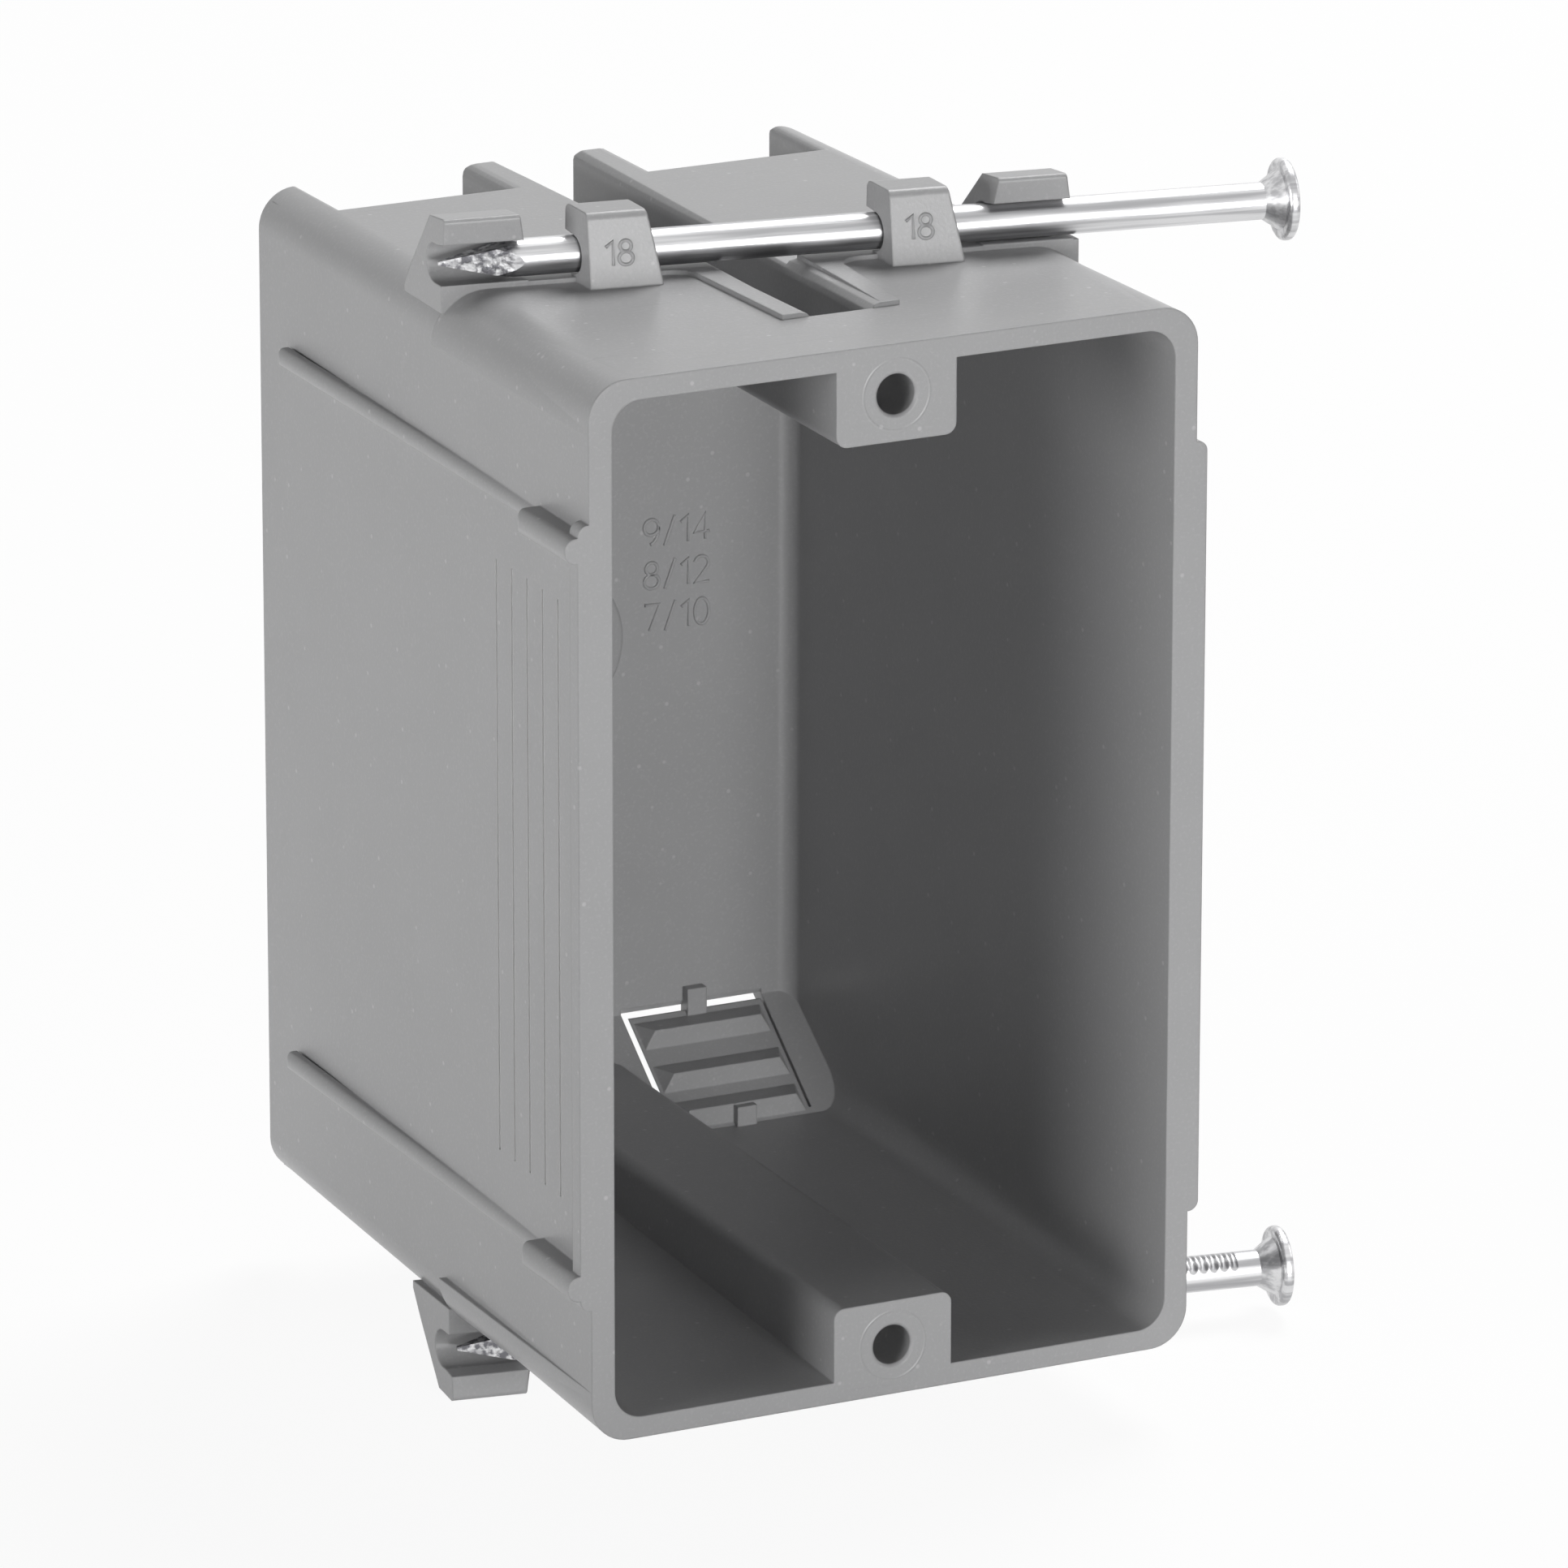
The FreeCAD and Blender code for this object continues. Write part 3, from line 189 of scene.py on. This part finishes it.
    upper = screwRing(tree, axes, pvc["screwHeight"])
    lower = screwRing(tree, axes, -pvc["screwHeight"])
    rings = node(tree, "ShaderNodeMath", {"operation": "ADD"}, None,
                 {0: upper.outputs[0], 1: lower.outputs[0]})
    atRim = node(tree, "ShaderNodeMath", {"operation": "LESS_THAN"}, {1: mm(pvc["rimDepth"])},
                 {0: axes.outputs["Y"]})
    shownRings = node(tree, "ShaderNodeMath", {"operation": "MULTIPLY"}, None,
                      {0: rings.outputs[0], 1: atRim.outputs[0]})

    soft = node(tree, "ShaderNodeBevel", {"samples": 6}, {"Radius": mm(pvc["edge"])})
    ringBump = node(tree, "ShaderNodeBump", None,
                    {"Distance": mm(pvc["ringHeight"]), "Strength": pvc["ringStrength"]},
                    {"Height": shownRings.outputs[0], "Normal": soft.outputs[0]})
    grainBump = node(tree, "ShaderNodeBump", None, {"Distance": mm(pvc["grainHeight"]), "Strength": 1.0},
                     {"Height": grain.outputs[0], "Normal": ringBump.outputs[0]})
    surface = node(tree, "ShaderNodeBsdfPrincipled", None,
                   {"Roughness": pvc["roughness"], "Specular IOR Level": pvc["specular"]},
                   {"Base Color": paintedGrooveLight.outputs[2], "Normal": grainBump.outputs[0]})
    node(tree, "ShaderNodeOutputMaterial", links={"Surface": surface.outputs[0]})
    return material


# Bright drawn steel wire: satin, with streaks along the nail, a rough darker point and grip marks.
steel = {
    "colour": "#DADADB",
    "streak": "#ABABAD",
    "point": "#6E6E72",    # darker patches on the pointed end
    "roughness": 0.32,
    "streakLength": 26,
    "streakWidth": 0.75,
    "streakRange": (0.5, 0.85),  # part of the two noises that is darker
    "lineLength": 8,       # finer lines along the nail
    "lineWidth": 0.22,
    "lineHeight": 0.01,
    "lineShare": 0.35,     # how much the lines add to the streaks
    "tilt": 9.68,
    "axisOffset": 26.3,    # box middle to the nail's axis, square to it
    "axisHeight": 48.26,
    "pointEnd": -25.2,     # along the nail, where the facets end
    "pointFade": 1.2,
    "pitSize": 0.6,
    "pitDepth": 0.06,
    "pitRange": (0.4, 0.6),
    "gripStart": 30.5,     # along the nail, first and last grip mark
    "gripEnd": 39,
    "gripPitch": 0.95,
    "gripDepth": 0.12,
    "gripRise": (0.4, 1.1),  # above the nail's axis, from none to full
}


def alongNail(tree, turned, length, width):  # the nail's coordinates, stretched for a streaky noise
    stretched = node(tree, "ShaderNodeMapping", None,
                     {"Scale": (1 / mm(length), 1 / mm(width), 1 / mm(width))},
                     {"Vector": turned.outputs[0]})
    return node(tree, "ShaderNodeTexNoise", None, {"Scale": 1.0, "Detail": 2.5},
                {"Vector": stretched.outputs[0]})


def makeSteel():
    material, tree = newMaterial("brightDrawnSteelWire")
    where = node(tree, "ShaderNodeTexCoord")
    turned = node(tree, "ShaderNodeMapping", None,
                  {"Rotation": (0, 0, math.radians(steel["tilt"])),
                   "Location": (0, -mm(steel["axisOffset"]), 0)},
                  {"Vector": where.outputs["Object"]})
    axes = node(tree, "ShaderNodeSeparateXYZ", links={0: turned.outputs[0]})

    streaks = alongNail(tree, turned, steel["streakLength"], steel["streakWidth"])
    lines = alongNail(tree, turned, steel["lineLength"], steel["lineWidth"])
    both = node(tree, "ShaderNodeMath", {"operation": "MULTIPLY_ADD"}, {1: steel["lineShare"]},
                {0: lines.outputs[0], 2: streaks.outputs[0]})
    share = node(tree, "ShaderNodeMapRange", {"interpolation_type": "SMOOTHSTEP"},
                 {"From Min": steel["streakRange"][0], "From Max": steel["streakRange"][1],
                  "To Min": 0.0, "To Max": 1.0}, {"Value": both.outputs[0]})
    tone = node(tree, "ShaderNodeMix", {"data_type": "RGBA"},
                {6: linear(steel["colour"]), 7: linear(steel["streak"])},
                {0: share.outputs[0]})

    pits = node(tree, "ShaderNodeTexNoise", None, {"Scale": 1 / mm(steel["pitSize"]), "Detail": 3.0},
                {"Vector": where.outputs["Object"]})
    atPoint = node(tree, "ShaderNodeMapRange", {"interpolation_type": "SMOOTHSTEP"},
                   {"From Min": mm(steel["pointEnd"] - steel["pointFade"]), "From Max": mm(steel["pointEnd"]),
                    "To Min": 1.0, "To Max": 0.0}, {"Value": axes.outputs["X"]})
    pitShare = node(tree, "ShaderNodeMapRange", {"interpolation_type": "SMOOTHSTEP"},
                    {"From Min": steel["pitRange"][0], "From Max": steel["pitRange"][1],
                     "To Min": 0.0, "To Max": 1.0}, {"Value": pits.outputs[0]})
    pitted = node(tree, "ShaderNodeMath", {"operation": "MULTIPLY"}, None,
                  {0: pitShare.outputs[0], 1: atPoint.outputs[0]})
    scaled = node(tree, "ShaderNodeMix", {"data_type": "RGBA"}, {7: linear(steel["point"])},
                  {0: pitted.outputs[0], 6: tone.outputs[2]})

    # Grip marks on the upper side of the lower nail, before its head
    turns = node(tree, "ShaderNodeMath", {"operation": "MULTIPLY"}, {1: 2 * math.pi / mm(steel["gripPitch"])},
                 {0: axes.outputs["X"]})
    wave = node(tree, "ShaderNodeMath", {"operation": "SINE"}, links={0: turns.outputs[0]})
    fromStart = node(tree, "ShaderNodeMath", {"operation": "GREATER_THAN"}, {1: mm(steel["gripStart"])},
                     {0: axes.outputs["X"]})
    toEnd = node(tree, "ShaderNodeMath", {"operation": "LESS_THAN"}, {1: mm(steel["gripEnd"])},
                 {0: axes.outputs["X"]})
    reach = node(tree, "ShaderNodeMath", {"operation": "MULTIPLY"}, None,
                 {0: fromStart.outputs[0], 1: toEnd.outputs[0]})
    onTop = node(tree, "ShaderNodeMapRange", {"interpolation_type": "SMOOTHSTEP"},
                 {"From Min": mm(steel["gripRise"][0] - steel["axisHeight"]),
                  "From Max": mm(steel["gripRise"][1] - steel["axisHeight"]),
                  "To Min": 0.0, "To Max": 1.0}, {"Value": axes.outputs["Z"]})
    lowNail = node(tree, "ShaderNodeMath", {"operation": "LESS_THAN"}, {1: 0.0}, {0: axes.outputs["Z"]})
    side = node(tree, "ShaderNodeMath", {"operation": "MULTIPLY"}, None,
                {0: onTop.outputs[0], 1: lowNail.outputs[0]})
    place = node(tree, "ShaderNodeMath", {"operation": "MULTIPLY"}, None,
                 {0: reach.outputs[0], 1: side.outputs[0]})
    grips = node(tree, "ShaderNodeMath", {"operation": "MULTIPLY"}, None,
                 {0: wave.outputs[0], 1: place.outputs[0]})

    lineBump = node(tree, "ShaderNodeBump", None, {"Distance": mm(steel["lineHeight"]), "Strength": 1.0},
                    {"Height": lines.outputs[0]})
    pitHeight = node(tree, "ShaderNodeMath", {"operation": "MULTIPLY"}, None,
                     {0: pits.outputs[0], 1: atPoint.outputs[0]})
    pitBump = node(tree, "ShaderNodeBump", None, {"Distance": mm(steel["pitDepth"]), "Strength": 1.0},
                   {"Height": pitHeight.outputs[0], "Normal": lineBump.outputs[0]})
    gripBump = node(tree, "ShaderNodeBump", None, {"Distance": mm(steel["gripDepth"]), "Strength": 1.0},
                    {"Height": grips.outputs[0], "Normal": pitBump.outputs[0]})
    surface = node(tree, "ShaderNodeBsdfPrincipled", None, {"Metallic": 1.0, "Roughness": steel["roughness"]},
                   {"Base Color": scaled.outputs[2], "Normal": gripBump.outputs[0]})
    node(tree, "ShaderNodeOutputMaterial", links={"Surface": surface.outputs[0]})
    return material


pvcMaterial = makePvc()
steelMaterial = makeSteel()


def dress(name, material):
    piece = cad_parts[name]
    piece.data.materials.clear()
    piece.data.materials.append(material)


dress("box", pvcMaterial)
dress("upper_nail", steelMaterial)
dress("lower_nail", steelMaterial)
print("materials on the solids")


# Raised figures: a plain number on each upper clip, and three rows of plain counts on the inner back wall.
figures = {
    "clipWords": "18",
    "clipTall": 2.05,      # middle of the stroke to middle of the stroke
    "clipProud": 0.15,
    "clips": [(-13.16, 48.95), (12.6, 49.22)],  # across, up
    "nailOffset": 26.68,
    "tilt": 9.68,
    "clipFoot": 3.85,      # nail axis to a clip's foot, at the top of the box
    "clipLean": 1.0,       # how far its face leans back
    "clipRise": 6.31,      # over this height
    "boxTop": 46.05,
    "rows": [("9/14", 9.82), ("8/12", 5.85), ("7/10", 1.97)],
    "rowTall": 2.4,
    "rowProud": 0.17,
    "rowMiddle": 12.57,
    "backWall": 68.6,
    "stroke": 0.32,        # width of a stroke, round on top
    "gap": 0.24,           # between two figures, as a share of their height
}


def arc(acrossMiddle, upMiddle, across, up, start, end):
    turns = [math.radians(start + (end - start) * i / 20) for i in range(21)]
    return [(acrossMiddle + across * math.cos(turn), upMiddle + up * math.sin(turn)) for turn in turns]


# Strokes of each figure, in shares of its height
strokes = {
    "0": [arc(0.29, 0.5, 0.29, 0.5, 0, 360)],
    "1": [[(0.0, 0.76), (0.3, 1.0), (0.3, 0.0)]],
    "2": [arc(0.29, 0.72, 0.28, 0.28, 165, -35) + [(0.0, 0.0), (0.6, 0.0)]],
    "4": [[(0.62, 0.28), (0.0, 0.28), (0.46, 1.0), (0.46, 0.0)]],
    "7": [[(0.0, 1.0), (0.6, 1.0), (0.2, 0.0)]],
    "8": [arc(0.3, 0.77, 0.24, 0.23, 0, 360), arc(0.3, 0.27, 0.3, 0.27, 0, 360)],
    "9": [arc(0.3, 0.7, 0.3, 0.3, 0, 360), arc(0.08, 0.62, 0.52, 0.62, 8, -70)],
    "/": [[(0.0, -0.06), (0.42, 1.06)]],
}


def raisedFigures(name, words, tall, proud, place, turn):
    line = bpy.data.curves.new(name, "CURVE")
    line.dimensions = "3D"
    line.bevel_depth = mm(figures["stroke"] / 2)
    line.bevel_resolution = 3
    line.use_fill_caps = True
    start = 0
    for letter in words:
        for points in strokes[letter]:
            spline = line.splines.new("POLY")
            spline.points.add(len(points) - 1)
            for point, (across, up) in zip(spline.points, points):
                point.co = (mm((start + across) * tall), mm(up * tall), 0, 1)
        start += max(across for points in strokes[letter] for across, up in points) + figures["gap"]
    piece = bpy.data.objects.new(name, line)
    bpy.context.scene.collection.objects.link(piece)
    bpy.ops.object.select_all(action="DESELECT")
    piece.select_set(True)
    bpy.context.view_layer.objects.active = piece
    bpy.ops.object.convert(target="MESH")
    bpy.ops.object.shade_smooth()
    piece = bpy.context.object
    middle = mm((start - figures["gap"]) * tall / 2, tall / 2, 0)
    flat = proud / (figures["stroke"] / 2)  # the round stroke stands this share of its radius proud
    piece.data.transform(Matrix.Translation(place) @ turn @ Matrix.Diagonal((1, 1, flat, 1))
                         @ Matrix.Translation(-middle))
    piece.data.materials.append(pvcMaterial)
    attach(piece, "root")


def makeFigures():
    tilt = math.radians(figures["tilt"])
    lean = math.atan2(figures["clipLean"], figures["clipRise"])
    upright = Matrix.Rotation(math.radians(90), 4, "X")
    for i, (across, up) in enumerate(figures["clips"]):
        reach = figures["clipFoot"] - (up - figures["boxTop"]) * figures["clipLean"] / figures["clipRise"]
        y = figures["nailOffset"] - across * math.tan(tilt) - reach / math.cos(tilt)
        turn = Matrix.Rotation(-tilt, 4, "Z") @ Matrix.Rotation(-lean, 4, "X") @ upright
        raisedFigures(f"clipNumber{i + 1}", figures["clipWords"], figures["clipTall"], figures["clipProud"],
                      mm(across, y, up), turn)
    for i, (words, up) in enumerate(figures["rows"]):
        raisedFigures(f"countRow{i + 1}", words, figures["rowTall"], figures["rowProud"],
                      mm(figures["rowMiddle"], figures["backWall"], up), upright)


makeFigures()
print("raised figures")


# Gate disc: a low round step in the middle of the inner back wall, where the photograph shows an arc.
gateDisc = {
    "radius": 7.6,
    "proud": 0.3,
    "step": 0.55,          # width of its sloping edge
    "height": 0.6,
    "backWall": 68.6,
    "buried": 0.3,
    "softness": 0.12,
}


def makeGateDisc():
    bpy.ops.object.select_all(action="DESELECT")
    thick = gateDisc["proud"] + gateDisc["buried"]
    middle = gateDisc["backWall"] + gateDisc["buried"] - thick / 2
    bpy.ops.mesh.primitive_cylinder_add(vertices=128, radius=mm(gateDisc["radius"]), depth=mm(thick),
                                        location=mm(0, middle, gateDisc["height"]),
                                        rotation=(math.radians(90), 0, 0))
    disc = bpy.context.object
    disc.name = "gateDisc"
    bpy.ops.object.transform_apply(location=True, rotation=True, scale=True)
    bpy.ops.object.mode_set(mode="EDIT")
    bpy.ops.mesh.select_mode(type="FACE")
    bpy.ops.mesh.select_all(action="DESELECT")
    bpy.ops.object.mode_set(mode="OBJECT")
    for face in disc.data.polygons:
        face.select = face.normal.y < -0.9
    bpy.ops.object.mode_set(mode="EDIT")
    scale = 1 - gateDisc["step"] / gateDisc["radius"]
    bpy.ops.transform.resize(value=(scale, 1, scale),
                             center_override=mm(0, gateDisc["backWall"] - gateDisc["proud"],
                                                gateDisc["height"]))
    bpy.ops.object.mode_set(mode="OBJECT")
    soften = disc.modifiers.new("soften", "BEVEL")
    soften.width = mm(gateDisc["softness"])
    soften.segments = 3
    soften.limit_method = "ANGLE"
    soften.angle_limit = math.radians(20)
    bpy.ops.object.modifier_apply(modifier="soften")
    bpy.ops.object.shade_smooth_by_angle(angle=math.radians(40))
    disc.data.materials.append(pvcMaterial)
    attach(disc, "root")


makeGateDisc()
print("gate disc")


# Studio: a pale floor and backdrop that read white to the camera, and soft lamps.
studio = {
    "floor": "#F4F4F4",
    "floorSize": 6,        # metres
    "floorHeight": -52.6,
    "floorGlow": 0.93,     # share of white the camera sees, the rest keeps the shadow
    "world": 0.01,
    "lamps": [
        # name, size in metres, watts, azimuth, elevation, distance in metres
        ("frontSoftbox", 0.4, 8.5, 0, 3.5, 1.2),
        ("leftSoftbox", 0.65, 10.0, -79, 1, 1.2),
        ("topSoftbox", 0.6, 12.2, 125, 55, 1.2),
        ("rightFill", 0.5, 1.2, 80, 25, 1.2),
    ],
    "aim": (0, 25, 0),
}


def pointFrom(azimuth, elevation, distance, target):
    a, e = math.radians(azimuth), math.radians(elevation)
    return target + distance * Vector((math.sin(a) * math.cos(e), -math.cos(a) * math.cos(e), math.sin(e)))


def cameraSeen(tree):  # 1 for what the camera, a mirror or glass looks at directly
    path = node(tree, "ShaderNodeLightPath")
    first = node(tree, "ShaderNodeMath", {"operation": "MAXIMUM"},
                 links={0: path.outputs["Is Camera Ray"], 1: path.outputs["Is Glossy Ray"]})
    return node(tree, "ShaderNodeMath", {"operation": "MAXIMUM"},
                links={0: first.outputs[0], 1: path.outputs["Is Transmission Ray"]})


def makeStudio():
    bpy.ops.object.select_all(action="DESELECT")
    bpy.ops.mesh.primitive_plane_add(size=studio["floorSize"], location=(0, 0, mm(studio["floorHeight"])))
    floor = bpy.context.object
    floor.name = "floor"
    material, tree = newMaterial("paleFloorPaint")
    paint = node(tree, "ShaderNodeBsdfDiffuse", None, {"Color": linear(studio["floor"])})
    glow = node(tree, "ShaderNodeEmission", None, {"Color": (1, 1, 1, 1), "Strength": 1.0})
    seen = cameraSeen(tree)
    share = node(tree, "ShaderNodeMath", {"operation": "MULTIPLY"}, {1: studio["floorGlow"]},
                 {0: seen.outputs[0]})
    mixed = node(tree, "ShaderNodeMixShader",
                 links={0: share.outputs[0], 1: paint.outputs[0], 2: glow.outputs[0]})
    node(tree, "ShaderNodeOutputMaterial", links={"Surface": mixed.outputs[0]})
    floor.data.materials.append(material)

    world = bpy.data.worlds.new("studioWorld")
    bpy.context.scene.world = world
    world.use_nodes = True
    sky = world.node_tree
    sky.nodes.clear()
    soft = node(sky, "ShaderNodeBackground", None, {"Color": (1, 1, 1, 1), "Strength": studio["world"]})
    white = node(sky, "ShaderNodeBackground", None, {"Color": (1, 1, 1, 1), "Strength": 1.0})
    seen = cameraSeen(sky)
    mixed = node(sky, "ShaderNodeMixShader",
                 links={0: seen.outputs[0], 1: soft.outputs[0], 2: white.outputs[0]})
    node(sky, "ShaderNodeOutputWorld", links={"Surface": mixed.outputs[0]})

    target = mm(*studio["aim"])
    for name, size, watts, azimuth, elevation, distance in studio["lamps"]:
        place = pointFrom(azimuth, elevation, distance, target)
        bpy.ops.object.light_add(type="AREA", location=place)
        lamp = bpy.context.object
        lamp.name = name
        lamp.data.shape = "DISK"
        lamp.data.size = size
        lamp.data.energy = watts
        lamp.rotation_euler = (place - target).to_track_quat("Z", "Y").to_euler()


makeStudio()
print("studio")


# Camera at the photograph's angle, from a metre away
camera = {
    "azimuth": -25.968,
    "elevation": 18.005,
    "roll": 0.079,
    "distance": 1.0,       # metres
    "target": (-10.258, 0, 9.49),
    "lens": 277.96,
    "sensor": 36,
}


def makeCamera():
    target = mm(*camera["target"])
    place = pointFrom(camera["azimuth"], camera["elevation"], camera["distance"], target)
    bpy.ops.object.camera_add(location=place)
    made = bpy.context.object
    roll = Matrix.Rotation(math.radians(camera["roll"]), 3, "Z")
    turn = (place - target).to_track_quat("Z", "Y").to_matrix() @ roll
    made.rotation_euler = turn.to_euler()
    made.data.lens = camera["lens"]
    made.data.sensor_width = camera["sensor"]
    made.data.clip_start = 0.05
    made.data.clip_end = 20
    bpy.context.scene.camera = made


makeCamera()
bpy.context.scene.view_settings.view_transform = "Standard"
print("camera")
